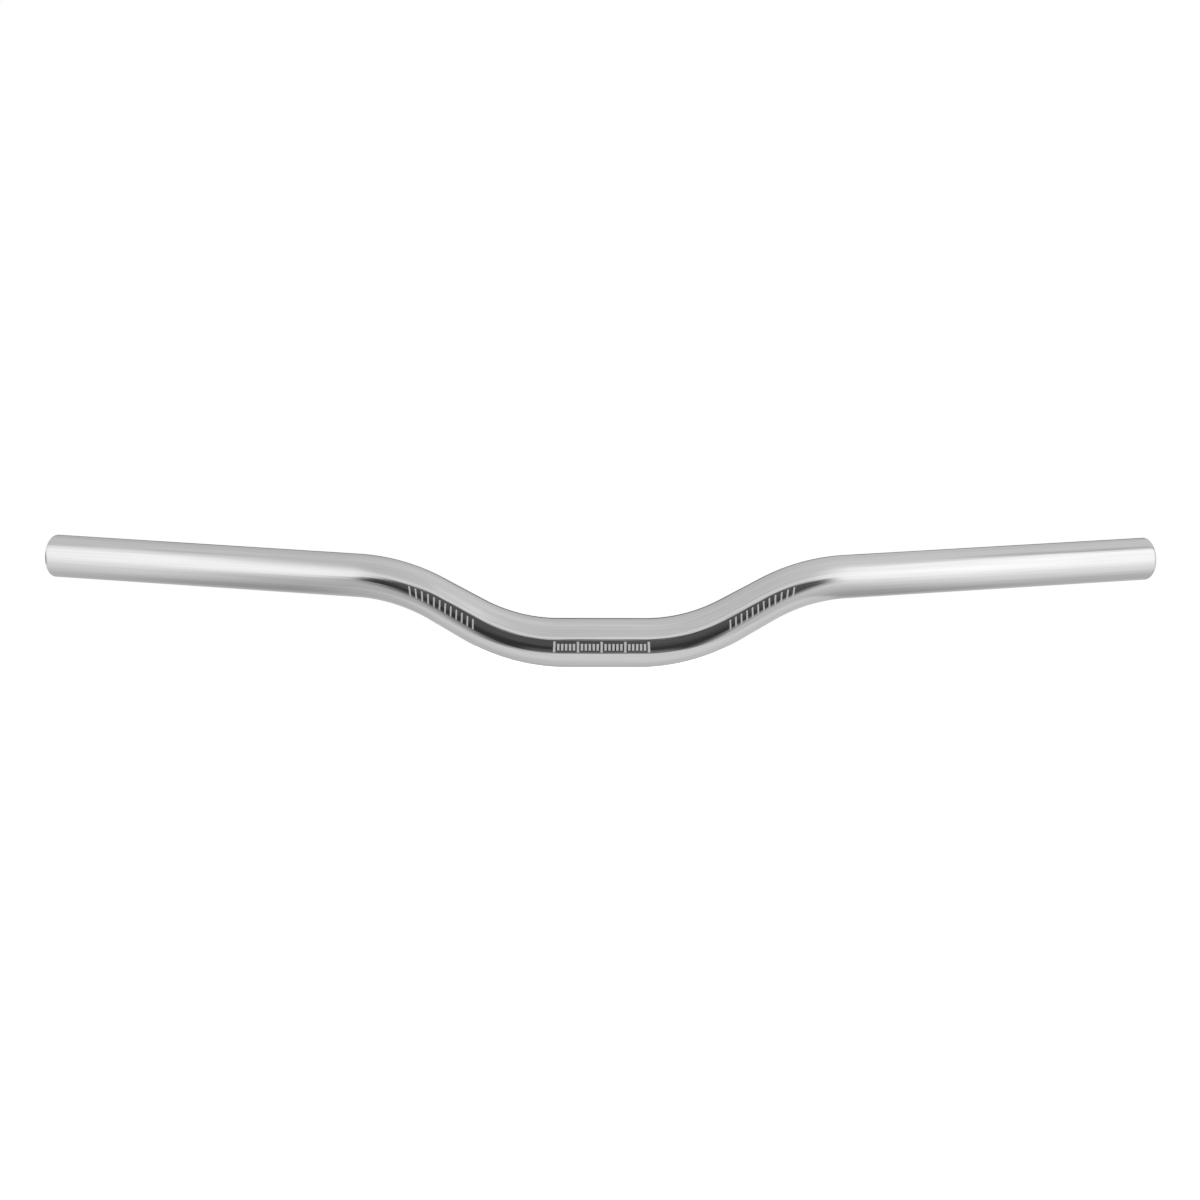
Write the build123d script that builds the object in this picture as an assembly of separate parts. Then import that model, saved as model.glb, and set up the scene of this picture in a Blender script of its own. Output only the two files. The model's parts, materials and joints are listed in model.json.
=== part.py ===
from build123d import *
from math import cos, radians, sin, tan
import os

# Riser handlebar: one hollow aluminium tube, swaged thinner towards the grips and bent twice on
# each side. X runs along the bar, +Y points back to the rider and +Z up, from the clamp's centre.

# Overall size, in millimetres
overall_width = 580.0

# Tube section
clamp_diameter = 25.4
grip_diameter = 22.2
wall = 2.4

# Centre line of one side, from the clamp outwards (angles in degrees)
clamp_straight = 40.0
lower_bend_radius = 92.0
riser_angle = 30.0
riser_straight = 21.0
upper_bend_radius = 84.0
upsweep = 2.0
backsweep = 8.0

# Cut ends
rim_radius = 0.8
bore_chamfer = 0.4

clamp_radius = clamp_diameter / 2
grip_radius = grip_diameter / 2

# Directions of the riser and of the grip on the right-hand side
across = Vector(1, 0, 0)
riser_direction = across.rotate(Axis.Y, -riser_angle)
grip_direction = across.rotate(Axis.Y, -upsweep).rotate(Axis.Z, backsweep)
upper_bend_angle = riser_direction.get_angle(grip_direction)
grip_lean = across.get_angle(grip_direction)

# Corners of the centre line before they are rounded by the two bends
lower_tangent = lower_bend_radius * tan(radians(riser_angle / 2))
upper_tangent = upper_bend_radius * tan(radians(upper_bend_angle / 2))
foot = across * (clamp_straight / 2 + lower_tangent)
knee = foot + riser_direction * (lower_tangent + riser_straight + upper_tangent)

# The rounded rim of a cut end is what reaches out to the overall width
rim_overhang = (grip_radius - rim_radius) * sin(radians(grip_lean)) + rim_radius * (1 - cos(radians(grip_lean)))
tip = knee + grip_direction * ((overall_width / 2 - rim_overhang - knee.X) / grip_direction.X)

centre_line = FilletPolyline(
    (0, 0, 0), foot, knee, tip, radius=[lower_bend_radius, upper_bend_radius]
)
clamp_half, lower_bend, riser, upper_bend, grip = centre_line.edges().sort_by(Axis.X)


def section(edge, position, radius):
    """Round section square to the centre line at one end of an edge."""
    return Plane(origin=edge @ position, z_dir=edge % position) * Circle(radius)


def bar(clamp_r, grip_r):
    """Solid bar along the whole centre line: straight clamp, tapered riser, level bend and grip."""
    clamp = extrude(Plane.YZ * Circle(clamp_r), clamp_straight / 2, both=True)
    tapered_riser = sweep(
        [section(lower_bend, 0, clamp_r), section(riser, 1, grip_r)],
        path=Wire([lower_bend, riser]),
        multisection=True,
    )
    grip_bend = sweep(section(upper_bend, 0, grip_r), path=upper_bend)
    grip_run = extrude(section(grip, 0, grip_r), grip.length)
    side = tapered_riser + grip_bend + grip_run
    return clamp + side + mirror(side, about=Plane.YZ)


def cut_ends(tube):
    """The two flat ring faces, the only flat faces of the tube."""
    return tube.faces().filter_by(GeomType.PLANE)


# Outside less the bore, which keeps the same wall all along
handlebar = bar(clamp_radius, grip_radius) - bar(clamp_radius - wall, grip_radius - wall)

# Cut ends: outer rim rounded over, edge of the bore broken
handlebar = fillet([end.outer_wire().edge() for end in cut_ends(handlebar)], rim_radius)
handlebar = chamfer([end.inner_wires()[0].edge() for end in cut_ends(handlebar)], bore_chamfer)

os.makedirs("parts", exist_ok=True)
export_step(handlebar, "parts/handlebar_tube.step")
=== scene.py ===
import json
from math import cos, pi, radians, sin, tan

import bpy
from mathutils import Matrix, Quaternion, Vector


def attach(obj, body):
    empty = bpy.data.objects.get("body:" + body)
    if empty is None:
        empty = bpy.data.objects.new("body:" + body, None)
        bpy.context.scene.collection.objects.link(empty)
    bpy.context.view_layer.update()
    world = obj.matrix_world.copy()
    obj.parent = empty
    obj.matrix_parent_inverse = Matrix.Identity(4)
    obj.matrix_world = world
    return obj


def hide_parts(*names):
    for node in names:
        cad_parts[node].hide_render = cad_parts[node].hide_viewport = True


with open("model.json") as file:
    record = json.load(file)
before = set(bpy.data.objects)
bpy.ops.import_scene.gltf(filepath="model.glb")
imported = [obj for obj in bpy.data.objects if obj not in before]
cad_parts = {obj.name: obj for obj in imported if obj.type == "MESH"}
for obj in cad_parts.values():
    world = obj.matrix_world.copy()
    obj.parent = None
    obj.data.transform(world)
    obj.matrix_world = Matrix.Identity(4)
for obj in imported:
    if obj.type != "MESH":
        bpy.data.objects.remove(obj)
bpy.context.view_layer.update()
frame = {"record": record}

# Handlebar tube: one length of drawn aluminium, swaged thinner from the clamp to the grips and bent
# twice on each side. Its ends are cut square and rounded over, and it is polished along its length.
# A stem clamps the straight middle, and grips and levers slide on from the ends.
millimetre = 0.001
mounts = {mount["name"]: mount for mount in frame["record"]["mounts"]}
clamp_radius = mounts["stem_clamp"]["dims"]["r_mm"] * millimetre
clamp_length = mounts["stem_clamp"]["dims"]["length_mm"] * millimetre
grip_radius = mounts["right_grip"]["dims"]["r_mm"] * millimetre
grip_length = mounts["right_grip"]["dims"]["length_mm"] * millimetre
grip_middle = Vector(mounts["right_grip"]["pos_m"])
grip_axis = Vector(mounts["right_grip"]["axis"]).normalized()
wall = grip_radius - mounts["right_end"]["dims"]["r_mm"] * millimetre

riser_angle = radians(30)
riser_straight = 21 * millimetre
lower_bend_radius = 92 * millimetre
upper_bend_radius = 84 * millimetre
rim_radius = 0.8 * millimetre
bore_edge_radius = 0.4 * millimetre

# Corners of the bar's axis on the right: where the clamp meets the riser, where the riser meets the
# grip, which is in the clamp's upright plane, and the cut end.
foot = Vector((clamp_length / 2 + lower_bend_radius * tan(riser_angle / 2), 0, 0))
knee = grip_middle - grip_axis * (grip_middle.y / grip_axis.y)
tip = grip_middle + grip_axis * (grip_length / 2 + rim_radius)
right_corners = [foot, knee, tip]
left_corners = [Vector((-corner.x, corner.y, corner.z)) for corner in right_corners]
bar_corners = bpy.data.meshes.new("bar_corners")
bar_corners.from_pydata(left_corners + right_corners, [], [])

bar_sizes = {
    "Clamp Radius": clamp_radius,
    "Grip Radius": grip_radius,
    "Taper Start": clamp_length / 2,
    "Taper End": clamp_length / 2 + lower_bend_radius * riser_angle + riser_straight,
    "Lower Bend Radius": lower_bend_radius,
    "Upper Bend Radius": upper_bend_radius,
}


def add(tree, kind, inputs=None, **settings):
    """One node. Its inputs are keyed by name or place, and each gets a value or another node's socket."""
    made = tree.nodes.new(kind)
    for name, value in settings.items():
        setattr(made, name, value)
    for key, value in (inputs or {}).items():
        if isinstance(value, bpy.types.NodeSocket):
            tree.links.new(value, made.inputs[key])
        else:
            made.inputs[key].default_value = value
    return made


def calc(tree, operation, *values):
    """Result of one Math node."""
    return add(tree, "ShaderNodeMath", dict(enumerate(values)), operation=operation).outputs[0]


def times(tree, product, *factors):
    """Product of two or more numbers."""
    for factor in factors:
        product = calc(tree, "MULTIPLY", product, factor)
    return product


def vector_calc(tree, operation, *values):
    """Result of one Vector Math node that gives a vector."""
    return add(tree, "ShaderNodeVectorMath", dict(enumerate(values)), operation=operation).outputs[0]


def scaled(tree, vector, factor):
    """A vector times a number."""
    return add(tree, "ShaderNodeVectorMath", {0: vector, "Scale": factor}, operation="SCALE").outputs[0]


def split(tree, vector):
    """X, Y and Z of a vector."""
    return add(tree, "ShaderNodeSeparateXYZ", {0: vector}).outputs


def either(tree, test, if_false, if_true):
    """One of two numbers, by a test."""
    choices = {"Switch": test, "False": if_false, "True": if_true}
    return add(tree, "GeometryNodeSwitch", choices, input_type="FLOAT").outputs[0]


def shape_tree(name, sizes):
    """Empty Geometry Nodes tree for the bar's corners, with an input for each size, and its inputs."""
    tree = bpy.data.node_groups.new(name, "GeometryNodeTree")
    sockets = [("Corners", "Geometry"), *[(size, "Float") for size in sizes], ("Finish", "Material")]
    for label, kind in sockets:
        tree.interface.new_socket(label, in_out="INPUT", socket_type="NodeSocket" + kind)
    tree.interface.new_socket("Piece", in_out="OUTPUT", socket_type="NodeSocketGeometry")
    return tree, tree.nodes.new("NodeGroupInput").outputs


def end_tree(tree, shape, finish, smooth):
    """Shading, real geometry and the finish, on the way out of a tree."""
    shading = {"Geometry": shape, "Shade Smooth": smooth}
    shaded = add(tree, "GeometryNodeSetShadeSmooth", shading).outputs[0]
    real = add(tree, "GeometryNodeRealizeInstances", {"Geometry": shaded}).outputs[0]
    finished = add(tree, "GeometryNodeSetMaterial", {"Geometry": real, "Material": finish}).outputs[0]
    add(tree, "NodeGroupOutput", {"Piece": finished})


def rounded_corners(tree, curve, steps, radius):
    """A curve of straight runs with each corner rounded in a number of steps."""
    rounding = {"Curve": curve, "Count": steps, "Radius": radius}
    return add(tree, "GeometryNodeFilletCurve", rounding, mode="POLY").outputs[0]


def bent_axis(tree, given):
    """The bar's axis from left to right: its corners in a row, each rounded by its bend."""
    x, _, z = split(tree, add(tree, "GeometryNodeInputPosition").outputs[0])
    points = add(tree, "GeometryNodeMeshToPoints", {"Mesh": given["Corners"]}).outputs[0]
    row = add(tree, "GeometryNodePointsToCurves", {"Points": points, "Weight": x}).outputs[0]
    at_knee = calc(tree, "GREATER_THAN", z, given["Clamp Radius"])
    radius = either(tree, at_knee, given["Lower Bend Radius"], given["Upper Bend Radius"])
    steps_per_bend = 32
    bent = rounded_corners(tree, row, steps_per_bend, radius)
    return add(tree, "GeometryNodeSetCurveNormal", {"Curve": bent}, mode="Z_UP").outputs[0]


def skin_radius(tree, given, along):
    """Outside radius at a distance along the axis from the middle: an even taper from clamp to grip."""
    return add(
        tree,
        "ShaderNodeMapRange",
        {
            "Value": calc(tree, "ABSOLUTE", along),
            "From Min": given["Taper Start"],
            "From Max": given["Taper End"],
            "To Min": given["Clamp Radius"],
            "To Max": given["Grip Radius"],
        },
    ).outputs[0]


def rolled_place(tree, axis, along, turn, radius):
    """Place at a distance along the axis from the middle, a turn up from the front and a radius."""
    half = times(tree, add(tree, "GeometryNodeCurveLength", {"Curve": axis}).outputs[0], 0.5)
    spot = add(
        tree,
        "GeometryNodeSampleCurve",
        {"Curves": axis, "Length": calc(tree, "ADD", along, half)},
        mode="LENGTH",
    ).outputs
    front = vector_calc(tree, "NORMALIZE", spot["Normal"])
    upward = vector_calc(tree, "NORMALIZE", vector_calc(tree, "CROSS_PRODUCT", front, spot["Tangent"]))
    to_front = scaled(tree, front, times(tree, radius, calc(tree, "COSINE", turn)))
    to_top = scaled(tree, upward, times(tree, radius, calc(tree, "SINE", turn)))
    return vector_calc(tree, "ADD", spot["Position"], vector_calc(tree, "ADD", to_front, to_top))


def stored(tree, shape, label, value, data_type):
    """The shape with a value kept on its points under a name, for its finish to read."""
    return add(
        tree,
        "GeometryNodeStoreNamedAttribute",
        {"Geometry": shape, "Name": label, "Value": value},
        data_type=data_type,
        domain="POINT",
    ).outputs[0]


def made_piece(name, tree, sizes, finish):
    """Runs a tree on the bar's corners and gives its result as an object with a plain mesh."""
    piece = bpy.data.objects.new(name, bar_corners.copy())
    bpy.context.scene.collection.objects.link(piece)
    shape = piece.modifiers.new("shape", "NODES")
    shape.node_group = tree
    for socket in tree.interface.items_tree:
        if socket.name in sizes:
            shape[socket.identifier] = sizes[socket.name]
        elif socket.name == "Finish":
            shape[socket.identifier] = finish
    evaluated = bpy.context.evaluated_depsgraph_get()
    mesh = bpy.data.meshes.new_from_object(piece.evaluated_get(evaluated), depsgraph=evaluated)
    piece.modifiers.clear()
    piece.data = mesh
    mesh.name = name
    return piece


# The tube's wall is a long thin rectangle with rounded corners. It is drawn out flat over one full
# turn, X along the bar, Y through the wall and Z round it, and then rolled up round the bent axis.
tube_sizes = bar_sizes | {
    "Wall": wall,
    "Rim Radius": rim_radius,
    "Bore Edge Radius": bore_edge_radius,
    "Ring Spacing": 1.6 * millimetre,
    "Facets Round": 112,
}
tube_tree, given = shape_tree("rolled_tube", tube_sizes)
axis = bent_axis(tube_tree, given)
place = add(tube_tree, "GeometryNodeInputPosition").outputs[0]
x, y, z = split(tube_tree, place)
section = add(
    tube_tree,
    "GeometryNodeCurvePrimitiveQuadrilateral",
    {
        "Width": add(tube_tree, "GeometryNodeCurveLength", {"Curve": axis}).outputs[0],
        "Height": given["Wall"],
    },
    mode="RECTANGLE",
).outputs[0]
on_outside = calc(tube_tree, "GREATER_THAN", y, 0)
edge_radius = either(tube_tree, on_outside, given["Bore Edge Radius"], given["Rim Radius"])
steps_per_edge = 5
section = rounded_corners(tube_tree, section, steps_per_edge, edge_radius)
next_point = add(
    tube_tree,
    "GeometryNodeOffsetPointInCurve",
    {"Point Index": add(tube_tree, "GeometryNodeInputIndex").outputs[0], "Offset": 1},
).outputs["Point Index"]
next_place = add(
    tube_tree,
    "GeometryNodeFieldAtIndex",
    {"Value": place, "Index": next_point},
    data_type="FLOAT_VECTOR",
    domain="POINT",
).outputs[0]
gap = add(
    tube_tree, "ShaderNodeVectorMath", {0: place, 1: next_place}, operation="DISTANCE"
).outputs["Value"]
rings = calc(tube_tree, "FLOOR", calc(tube_tree, "DIVIDE", gap, given["Ring Spacing"]))
section = add(tube_tree, "GeometryNodeSubdivideCurve", {"Curve": section, "Cuts": rings}).outputs[0]
section = add(tube_tree, "GeometryNodeSetCurveNormal", {"Curve": section}, mode="Z_UP").outputs[0]
full_turn = add(
    tube_tree, "GeometryNodeCurvePrimitiveLine", {"Start": (0, pi, 0), "End": (0, -pi, 0)}
).outputs[0]
full_turn = add(
    tube_tree,
    "GeometryNodeResampleCurve",
    {"Curve": full_turn, "Count": calc(tube_tree, "ADD", given["Facets Round"], 1)},
).outputs[0]
flat_wall = add(
    tube_tree, "GeometryNodeCurveToMesh", {"Curve": section, "Profile Curve": full_turn}
).outputs[0]
depth = calc(tube_tree, "SUBTRACT", times(tube_tree, given["Wall"], 0.5), y)
radius = calc(tube_tree, "SUBTRACT", skin_radius(tube_tree, given, x), depth)
straight_place = add(
    tube_tree,
    "ShaderNodeCombineXYZ",
    {
        "X": x,
        "Y": times(tube_tree, radius, calc(tube_tree, "COSINE", z)),
        "Z": times(tube_tree, radius, calc(tube_tree, "SINE", z)),
    },
).outputs[0]
flat_wall = stored(tube_tree, flat_wall, "straight_place", straight_place, "FLOAT_VECTOR")
wall_share = calc(tube_tree, "DIVIDE", depth, given["Wall"])
flat_wall = stored(tube_tree, flat_wall, "wall_share", wall_share, "FLOAT")
rolled_wall = add(
    tube_tree,
    "GeometryNodeSetPosition",
    {"Geometry": flat_wall, "Position": rolled_place(tube_tree, axis, x, z, radius)},
).outputs[0]
seam_gap = 0.01 * millimetre
closed_wall = add(
    tube_tree, "GeometryNodeMergeByDistance", {"Geometry": rolled_wall, "Distance": seam_gap}
).outputs[0]
end_tree(tube_tree, closed_wall, given["Finish"], smooth=True)


def new_finish(name, metallic):
    """Material with a Principled shader, its node tree and that shader."""
    finish = bpy.data.materials.new(name)
    finish.use_nodes = True
    shader = finish.node_tree.nodes["Principled BSDF"]
    shader.inputs["Metallic"].default_value = metallic
    return finish, finish.node_tree, shader


def stretched_noise(tree, along_scale, round_scale, detail):
    """Noise from 0 to 1 drawn out along the straightened tube, in features per metre along and round it."""
    straight = add(tree, "ShaderNodeAttribute", attribute_name="straight_place").outputs["Vector"]
    stretch = (along_scale, round_scale, round_scale)
    drawn = add(tree, "ShaderNodeMapping", {"Vector": straight, "Scale": stretch}).outputs[0]
    noise = add(tree, "ShaderNodeTexNoise", {"Vector": drawn, "Scale": 1.0, "Detail": detail}).outputs[0]
    usual_range = {"From Min": 0.3, "From Max": 0.7}
    return add(tree, "ShaderNodeMapRange", {"Value": noise} | usual_range).outputs[0]


def blend(tree, share, first, second):
    """A number that is the first at share 0 and the second at share 1."""
    return add(tree, "ShaderNodeMix", {0: share, 2: first, 3: second}, data_type="FLOAT").outputs[0]


def blend_colour(tree, share, first, second):
    """A colour that is the first at share 0 and the second at share 1."""
    return add(tree, "ShaderNodeMix", {0: share, 6: first, 7: second}, data_type="RGBA").outputs[2]


def bump(tree, height, distance, below=None):
    """Surface that swells by a distance where the height is 1, on top of another bump if one is given."""
    swelling = {"Height": height, "Strength": 1.0, "Distance": distance}
    if below is not None:
        swelling["Normal"] = below
    return add(tree, "ShaderNodeBump", swelling).outputs[0]


# Fine polishing lines and broader buffed bands run along the metal, and the bore is duller than the skin.
dull_metal = (0.72, 0.72, 0.725, 1)
bright_metal = (0.88, 0.88, 0.885, 1)
bore_metal = (0.55, 0.55, 0.56, 1)
smoothest_polish = 0.06
roughest_polish = 0.14
bore_roughness = 0.42
band_height = 0.06 * millimetre
line_height = 0.02 * millimetre
polish, polish_tree, polish_shader = new_finish("polished_aluminium", metallic=1.0)
polish_lines = stretched_noise(polish_tree, along_scale=14, round_scale=800, detail=4)
buffed_bands = stretched_noise(polish_tree, along_scale=6, round_scale=260, detail=3)
depth_share = add(polish_tree, "ShaderNodeAttribute", attribute_name="wall_share").outputs["Fac"]
skin_to_bore = {"From Min": 0.3, "From Max": 0.95}
inside = add(polish_tree, "ShaderNodeMapRange", {"Value": depth_share} | skin_to_bore).outputs[0]
tone = times(polish_tree, calc(polish_tree, "ADD", polish_lines, buffed_bands), 0.5)
skin_metal = blend_colour(polish_tree, tone, dull_metal, bright_metal)
colour = blend_colour(polish_tree, inside, skin_metal, bore_metal)
skin_roughness = blend(polish_tree, polish_lines, smoothest_polish, roughest_polish)
roughness = blend(polish_tree, inside, skin_roughness, bore_roughness)
bands = bump(polish_tree, buffed_bands, band_height)
lines = bump(polish_tree, polish_lines, line_height, below=bands)
polish_tree.links.new(colour, polish_shader.inputs["Base Color"])
polish_tree.links.new(roughness, polish_shader.inputs["Roughness"])
polish_tree.links.new(lines, polish_shader.inputs["Normal"])

tube = made_piece("polished_tube", tube_tree, tube_sizes, polish)
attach(tube, "root")
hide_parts("handlebar_tube")

# Etched marks: a centring scale across the front of the clamp section and slanted strokes up the front of
# each riser. They are burnt pale and matt into the polished metal, which leaves them level with it.
grey_burn = (0.72, 0.72, 0.72, 1)
pale_burn = (0.86, 0.86, 0.86, 1)
smoothest_burn = 0.5
roughest_burn = 0.75
grains_per_metre = 6000.0
etching, etching_tree, etching_shader = new_finish("etched_aluminium", metallic=0.0)
place = add(etching_tree, "ShaderNodeTexCoord").outputs["Object"]
grain = add(
    etching_tree, "ShaderNodeTexNoise", {"Vector": place, "Scale": grains_per_metre, "Detail": 2}
).outputs[0]
colour = blend_colour(etching_tree, grain, grey_burn, pale_burn)
roughness = blend(etching_tree, grain, smoothest_burn, roughest_burn)
etching_tree.links.new(colour, etching_shader.inputs["Base Color"])
etching_tree.links.new(roughness, etching_shader.inputs["Roughness"])

mark_sizes = bar_sizes | {
    "Proud": 0.015 * millimetre,
    "Sunk": 0.045 * millimetre,
}
clamp_scale = mark_sizes | {
    "Marks": 25,
    "Pitch": 2.0 * millimetre,
    "Mark Width": 1.2 * millimetre,
    "Mark Height": 3.4 * millimetre,
    "Tall Height": 5.6 * millimetre,
    "Tall Every": 6.0,
    "Slant": 0.0,
    "Along": 0.0,
    "Turn": radians(3),
}
mark_tree, given = shape_tree("rolled_marks", clamp_scale)
axis = bent_axis(mark_tree, given)

# A flat row of upright bars, some of them taller, counted from the middle one.
half_row = times(mark_tree, calc(mark_tree, "SUBTRACT", given["Marks"], 1), 0.5)
step = add(mark_tree, "ShaderNodeCombineXYZ", {"X": given["Pitch"]}).outputs[0]
row = add(
    mark_tree, "GeometryNodeMeshLine", {"Count": given["Marks"], "Offset": step}, mode="OFFSET"
).outputs[0]
number = calc(mark_tree, "SUBTRACT", add(mark_tree, "GeometryNodeInputIndex").outputs[0], half_row)
since_tall = calc(mark_tree, "FLOORED_MODULO", number, given["Tall Every"])
is_tall = calc(mark_tree, "LESS_THAN", since_tall, 0.5)
height = either(mark_tree, is_tall, given["Mark Height"], given["Tall Height"])
thickness = calc(mark_tree, "ADD", given["Proud"], given["Sunk"])
bar_size = add(
    mark_tree, "ShaderNodeCombineXYZ", {"X": given["Mark Width"], "Y": thickness, "Z": 1.0}
).outputs[0]
facets = 10
flat_bar = add(
    mark_tree,
    "GeometryNodeMeshCube",
    {"Size": bar_size, "Vertices X": 2, "Vertices Y": 2, "Vertices Z": facets + 1},
).outputs[0]
flat_row = add(
    mark_tree,
    "GeometryNodeInstanceOnPoints",
    {
        "Points": row,
        "Instance": flat_bar,
        "Scale": add(mark_tree, "ShaderNodeCombineXYZ", {"X": 1.0, "Y": 1.0, "Z": height}).outputs[0],
    },
).outputs[0]
flat_row = add(mark_tree, "GeometryNodeRealizeInstances", {"Geometry": flat_row}).outputs[0]

# The row is slanted, set out from its middle and rolled on to the skin.
x, y, z = split(mark_tree, add(mark_tree, "GeometryNodeInputPosition").outputs[0])
along = calc(mark_tree, "SUBTRACT", x, times(mark_tree, half_row, given["Pitch"]))
along = calc(mark_tree, "ADD", along, times(mark_tree, z, given["Slant"]))
along = calc(mark_tree, "ADD", along, given["Along"])
skin = skin_radius(mark_tree, given, along)
turn = calc(mark_tree, "ADD", calc(mark_tree, "DIVIDE", z, skin), given["Turn"])
lift = times(mark_tree, calc(mark_tree, "SUBTRACT", given["Proud"], given["Sunk"]), 0.5)
radius = calc(mark_tree, "ADD", skin, calc(mark_tree, "ADD", y, lift))
rolled_row = add(
    mark_tree,
    "GeometryNodeSetPosition",
    {"Geometry": flat_row, "Position": rolled_place(mark_tree, axis, along, turn, radius)},
).outputs[0]
outward_row = add(mark_tree, "GeometryNodeFlipFaces", {"Mesh": rolled_row}).outputs[0]
end_tree(mark_tree, outward_row, given["Finish"], smooth=False)


def etched_row(name, sizes):
    """One row of marks on the bar."""
    marks = made_piece(name, mark_tree, sizes, etching)
    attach(marks, "root")


etched_row("clamp_scale", clamp_scale)
hatching = mark_sizes | {
    "Marks": 12,
    "Pitch": 3.2 * millimetre,
    "Mark Width": 0.9 * millimetre,
    "Mark Height": 4.6 * millimetre,
    "Tall Height": 4.6 * millimetre,
    "Tall Every": 1.0,
    "Turn": radians(2),
}
hatching_middle = 85 * millimetre
stroke_slant = 0.5
for side_name, direction in (("left", -1), ("right", 1)):
    on_riser = {"Along": direction * hatching_middle, "Slant": direction * stroke_slant}
    etched_row(side_name + "_riser_hatching", hatching | on_riser)

# Light tent: a tunnel of white cloth round the bar, closed at both ends, as for a catalogue photograph of
# bright metal. A tall softbox lights it on each side, and it is open and dark where the camera looks in.
# The camera itself doesn't see the tent, and the bar shows it all over.
tent_radius = 0.7
tent_half_length = 2.1
tent_panels = 96
hoops = []
for hoop_x in (-tent_half_length, tent_half_length):
    for panel in range(tent_panels):
        angle = 2 * pi * panel / tent_panels
        hoops.append((hoop_x, -tent_radius * cos(angle), tent_radius * sin(angle)))
panels = []
for panel in range(tent_panels):
    following = (panel + 1) % tent_panels
    panels.append((panel, following, tent_panels + following, tent_panels + panel))
left_cap = tuple(range(tent_panels))
right_cap = tuple(range(tent_panels, 2 * tent_panels))


def studio_piece(name, corners, faces):
    """Object with a plain mesh that stands round the bar."""
    mesh = bpy.data.meshes.new(name)
    mesh.from_pydata(corners, [], faces)
    piece = bpy.data.objects.new(name, mesh)
    bpy.context.scene.collection.objects.link(piece)
    return piece


tent = studio_piece("light_tent", hoops, panels + [left_cap, right_cap])
tent.visible_camera = False


def lit_material(name):
    """Material with an empty node tree, for a sheet that gives light, and that tree."""
    material = bpy.data.materials.new(name)
    material.use_nodes = True
    material.node_tree.nodes.clear()
    return material, material.node_tree


def rise(tree, value, start, end):
    """0 before start, 1 after end, and a smooth rise between them."""
    return add(
        tree,
        "ShaderNodeMapRange",
        {"Value": value, "From Min": start, "From Max": end},
        interpolation_type="SMOOTHSTEP",
    ).outputs[0]


# Angles from the middle of the bar, in degrees: to the side, and round it from the front upwards.
tent_cloth, cloth = lit_material("lit_cloth")
x, y, z = split(cloth, add(cloth, "ShaderNodeTexCoord").outputs["Object"])
side = calc(cloth, "DEGREES", calc(cloth, "ARCTANGENT", calc(cloth, "DIVIDE", x, tent_radius)))
outward = calc(cloth, "ABSOLUTE", side)
upward = calc(cloth, "DEGREES", calc(cloth, "ARCTAN2", z, times(cloth, y, -1)))
around = calc(cloth, "ABSOLUTE", upward)
on_right = rise(cloth, side, -2, 2)


def by_side(left, right):
    """A number of its own for each half of the tent."""
    return blend(cloth, on_right, left, right)


# Cloth over, behind and in front of the bar, where its lower edge catches more light.
cloth_above = 0.607
cloth_behind = 0.644
cloth_low_behind = 0.544
cloth_front_edge = 0.759
behind = rise(cloth, upward, 86, 96)
low_behind = rise(cloth, upward, 105, 155)
at_front_edge = rise(cloth, upward, 40, 36)
brighter_right = blend(cloth, rise(cloth, side, -25, 25), 0.96, 1.07)
light = blend(cloth, behind, cloth_above, cloth_behind)
light = blend(cloth, low_behind, light, cloth_low_behind)
light = times(cloth, light, brighter_right)
light = blend(cloth, at_front_edge, light, cloth_front_edge)

# Table below, brighter out beneath the softboxes and darker towards the back.
table_inside = by_side(0.556, 0.663)
table_outside = by_side(0.817, 0.882)
table_behind = 0.521
back_shade = by_side(0.64, 0.56)
past_edge = calc(cloth, "SUBTRACT", outward, by_side(41.4, 36.8))
beneath_softbox = rise(cloth, past_edge, -6, 6)
towards_front = rise(cloth, upward, -112, -10)
far_back = rise(cloth, upward, -116, -142)
on_table = rise(cloth, upward, 34, 6)
table = blend(cloth, beneath_softbox, table_inside, table_outside)
table = times(cloth, table, blend(cloth, towards_front, back_shade, 1))
table = blend(cloth, far_back, table, table_behind)
light = blend(cloth, on_table, light, table)

# Softboxes, which lean outwards towards the top. Near the ends of the bar a dark frame shows above them,
# and the right one has a crisp edge under it.
near_end = rise(cloth, outward, 30, 38)
frame_bottom = rise(cloth, upward, 76, 82)
frame_top = rise(cloth, upward, 92, 86)
frame_shade = by_side(0.9, 0.72)
softbox_frame = times(cloth, frame_bottom, frame_top, near_end)
light = times(cloth, light, blend(cloth, softbox_frame, 1, frame_shade))
lean_start = 30
lean_per_degree = by_side(0.151, 0.079)
past_start = calc(cloth, "MAXIMUM", calc(cloth, "SUBTRACT", upward, lean_start), 0)
lean = times(cloth, past_start, lean_per_degree)
softbox_inside = by_side(16.9, 6.0)
softbox_outside = by_side(38.8, 39.9)
softbox_side = rise(cloth, calc(cloth, "SUBTRACT", outward, lean), softbox_inside, softbox_outside)
soft_top = rise(cloth, upward, 91.5, 51.5)
crisp_top = rise(cloth, upward, 82, 62)
softbox_top = blend(cloth, times(cloth, near_end, on_right), soft_top, crisp_top)
softbox_bottom = rise(cloth, upward, -35, 14.5)
softbox = times(cloth, softbox_side, softbox_top, softbox_bottom)
dimming = blend(cloth, rise(cloth, outward, 44, 54), 1, 0.94)
softbox_light = times(cloth, by_side(1.07, 1.169), dimming)
light = blend(cloth, softbox, light, softbox_light)

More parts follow.
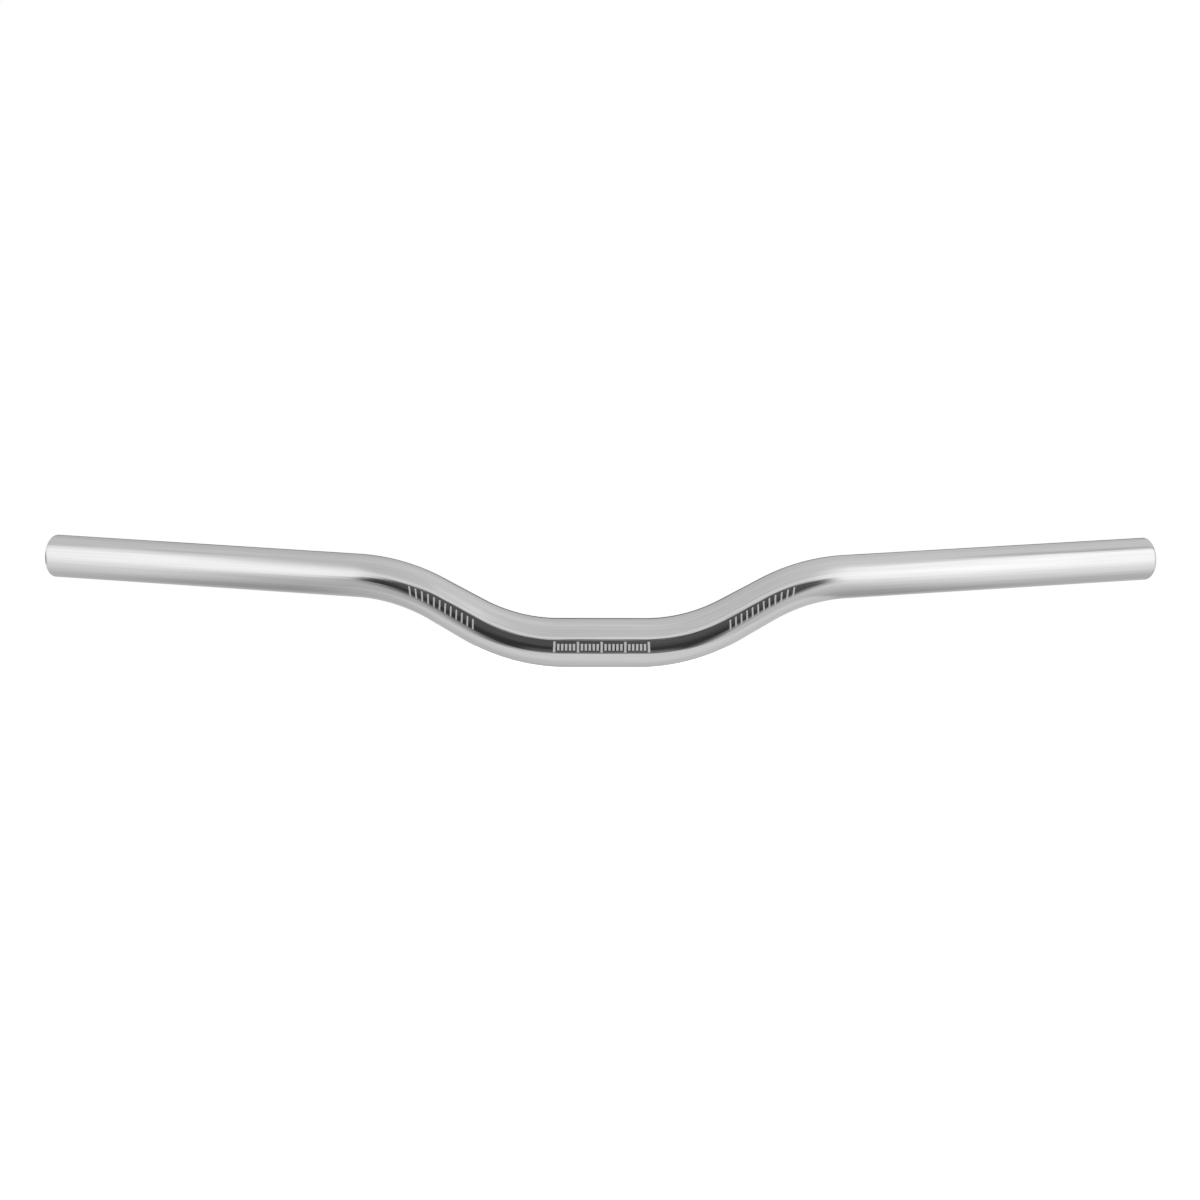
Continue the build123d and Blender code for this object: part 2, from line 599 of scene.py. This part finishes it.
# Dark opening for the camera: round-cornered above, and narrowing evenly to a point far below.
opening_middle = -2.1
opening_half_width = 31.3
opening_slope = 0.12
widest_level = -8.7
height_above = 33.5
depth_below = by_side(77, 120)
roundness = 2.7
off_middle = calc(cloth, "ABSOLUTE", calc(cloth, "SUBTRACT", side, opening_middle))
across = calc(cloth, "DIVIDE", off_middle, opening_half_width)
level = calc(cloth, "SUBTRACT", upward, times(cloth, side, opening_slope))
above = calc(cloth, "SUBTRACT", level, widest_level)
to_top = calc(cloth, "DIVIDE", calc(cloth, "MAXIMUM", above, 0), height_above)
to_point = calc(cloth, "DIVIDE", calc(cloth, "MAXIMUM", times(cloth, above, -1), 0), depth_below)
reach = calc(cloth, "ADD", calc(cloth, "POWER", across, roundness), calc(cloth, "POWER", to_top, roundness))
reach = calc(cloth, "ADD", calc(cloth, "POWER", reach, 1 / roundness), to_point)
softness_below = by_side(0.34, 0.26)
softness_above = 0.12
is_above = calc(cloth, "GREATER_THAN", above, 0)
softness = blend(cloth, is_above, softness_below, softness_above)
inner_edge = calc(cloth, "SUBTRACT", 1, softness)
outer_edge = calc(cloth, "ADD", 1, softness)
dark_below = 0.036
dark_above = blend(cloth, rise(cloth, side, -26, -14), 0.042, 0.086)
dark = blend(cloth, rise(cloth, upward, -16, 6), dark_below, dark_above)
light = blend(cloth, rise(cloth, reach, inner_edge, outer_edge), dark, light)

# Dark slit between the cloth and the table at the back.
slit_light = 0.08
light = blend(cloth, rise(cloth, around, 157, 167), light, slit_light)

# Bare cloth towards both ends of the tunnel, with little light on the left in front and on the right behind.
left_end = blend(cloth, rise(cloth, around, 35, 65), 0.05, 0.8)
right_end = blend(cloth, rise(cloth, around, 70, 115), 0.75, 0.2)
light = blend(cloth, rise(cloth, outward, 53, 61), light, by_side(left_end, right_end))
glow = add(cloth, "ShaderNodeEmission", {"Strength": light}).outputs[0]
add(cloth, "ShaderNodeOutputMaterial", {"Surface": glow})
tent.data.materials.append(tent_cloth)

# White card: a sheet of paper lying close under the middle of the bar, to light the risers from below. Its
# front edge is rounded, with a dim strip along the middle of it, its left edge curls down out of the light,
# and the bar shades it at the back. The camera doesn't see it either.
card_left = -230 * millimetre
card_right = 170 * millimetre
card_front = -165 * millimetre
card_back = 200 * millimetre
card_drop = 60 * millimetre


def level_sheet(name, left, right, front, back, drop):
    """Level rectangle at a drop below the middle of the bar."""
    corners = [(left, front, -drop), (right, front, -drop), (right, back, -drop), (left, back, -drop)]
    return studio_piece(name, corners, [(0, 1, 2, 3)])


card = level_sheet("white_card", card_left, card_right, card_front, card_back, card_drop)
card.visible_camera = False

# Places on the card, in millimetres from the middle of the bar, and where the paper covers it.
card_paper, paper = lit_material("lit_paper")
place = add(paper, "ShaderNodeTexCoord").outputs["Object"]
x, y, _ = split(paper, scaled(paper, place, 1 / millimetre))
off_middle = calc(paper, "ABSOLUTE", x)
corner_rounding = 32.7
rounding = times(paper, rise(paper, off_middle, 20, 120), corner_rounding)
front_edge = rise(paper, calc(paper, "SUBTRACT", y, rounding), -106.8, -71.2)
back_edge = rise(paper, y, 190, 150)
left_edge = rise(paper, x, -197.5, -117.5)
right_edge = rise(paper, x, 153.8, 150.4)
cover = times(paper, front_edge, back_edge, left_edge, right_edge)

lit_in_front = 0.693
shaded_behind = blend(paper, rise(paper, off_middle, 30, 140), 0.475, 0.56)
more_on_right = blend(paper, rise(paper, x, -120, 120), 0, 0.045)
paper_light = blend(paper, rise(paper, y, -50.4, 50.4), lit_in_front, shaded_behind)
paper_light = calc(paper, "ADD", paper_light, more_on_right)
paper_glow = add(paper, "ShaderNodeEmission", {"Strength": paper_light}).outputs[0]
strip_light = 0.1
strip = times(paper, rise(paper, y, -156, -150), rise(paper, off_middle, 68, 48))
strip_glow = add(paper, "ShaderNodeEmission", {"Strength": strip_light}).outputs[0]
clear = add(paper, "ShaderNodeBsdfTransparent").outputs[0]
faded_strip = add(paper, "ShaderNodeMixShader", {0: strip, 1: clear, 2: strip_glow}).outputs[0]
faded_card = add(paper, "ShaderNodeMixShader", {0: cover, 1: faded_strip, 2: paper_glow}).outputs[0]
add(paper, "ShaderNodeOutputMaterial", {"Surface": faded_card})
card.data.materials.append(card_paper)

# Room: a plain white floor under the tent and white walls behind it. The camera sees both, and so would
# anything bright that stood outside the tent.
floor_drop = 0.75
floor_half = 3.0
floor = level_sheet("floor", -floor_half, floor_half, -floor_half, floor_half, floor_drop)


def seen_plainly(tree):
    """1 where a ray comes straight from the camera, a bright surface or glass, and 0 elsewhere."""
    ray = add(tree, "ShaderNodeLightPath").outputs
    seen = calc(tree, "MAXIMUM", ray["Is Camera Ray"], ray["Is Glossy Ray"])
    return calc(tree, "MAXIMUM", seen, ray["Is Transmission Ray"])


floor_paint, floor_tree, floor_shader = new_finish("floor_white", metallic=0.0)
floor_shader.inputs["Base Color"].default_value = (0.8, 0.8, 0.8, 1)
floor_shader.inputs["Roughness"].default_value = 0.9
floor_shader.inputs["Emission Color"].default_value = (1, 1, 1, 1)
floor_tree.links.new(seen_plainly(floor_tree), floor_shader.inputs["Emission Strength"])
floor.data.materials.append(floor_paint)

room = bpy.data.worlds.new("white_room")
room.use_nodes = True
bpy.context.scene.world = room
walls = room.node_tree
background = walls.nodes["Background"]
background.inputs["Color"].default_value = (1, 1, 1, 1)
light_as_lamp = 0.5
light_as_seen = 1.0
wall_light = blend(walls, seen_plainly(walls), light_as_lamp, light_as_seen)
walls.links.new(wall_light, background.inputs["Strength"])

# Camera: two thirds of a metre in front of the bar and looking down on it a little, as in the photograph.
# A slight roll sets the two grips as they are there.
camera_lens = bpy.data.cameras.new("camera")
camera_lens.sensor_width = 36
camera_lens.lens = 38.289
camera_lens.clip_start = 0.01
eye = Vector((-3.926, -640.444, 157.591)) * millimetre
aim = Vector((-0.834, 5.337, 21.367)) * millimetre
roll = radians(0.205)
camera = bpy.data.objects.new("camera", camera_lens)
camera.rotation_mode = "QUATERNION"
camera.location = eye
camera.rotation_quaternion = (aim - eye).to_track_quat("-Z", "Y") @ Quaternion((0, 0, 1), roll)
bpy.context.scene.collection.objects.link(camera)
bpy.context.scene.camera = camera
bpy.context.scene.view_settings.view_transform = "Standard"
